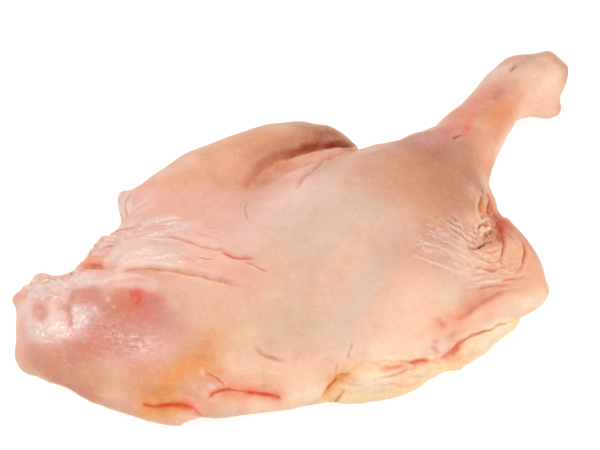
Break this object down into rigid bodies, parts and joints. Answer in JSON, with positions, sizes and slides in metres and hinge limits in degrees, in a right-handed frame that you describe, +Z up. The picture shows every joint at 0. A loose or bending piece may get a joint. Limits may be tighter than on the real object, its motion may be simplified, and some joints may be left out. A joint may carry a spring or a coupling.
{
  "type": "goose leg",
  "caption": "Raw goose leg with its skin on, thigh and drumstick in one piece, lying flat with the skin up; food for a kitchen, counter or table scene.",
  "frame": {"origin": "on the table, below the middle of the leg's box", "axes": "+X from the cut thigh towards the hock, +Y across the leg towards the free lobe of meat, +Z up out of the skin"},
  "size_m": [0.2614, 0.1392, 0.0436],
  "materials": {
    "skin": "moist raw poultry skin over fat, pale pink to peach"
  },
  "bodies": {
    "root": {"goose_leg": "skin"}
  },
  "joints": []
}
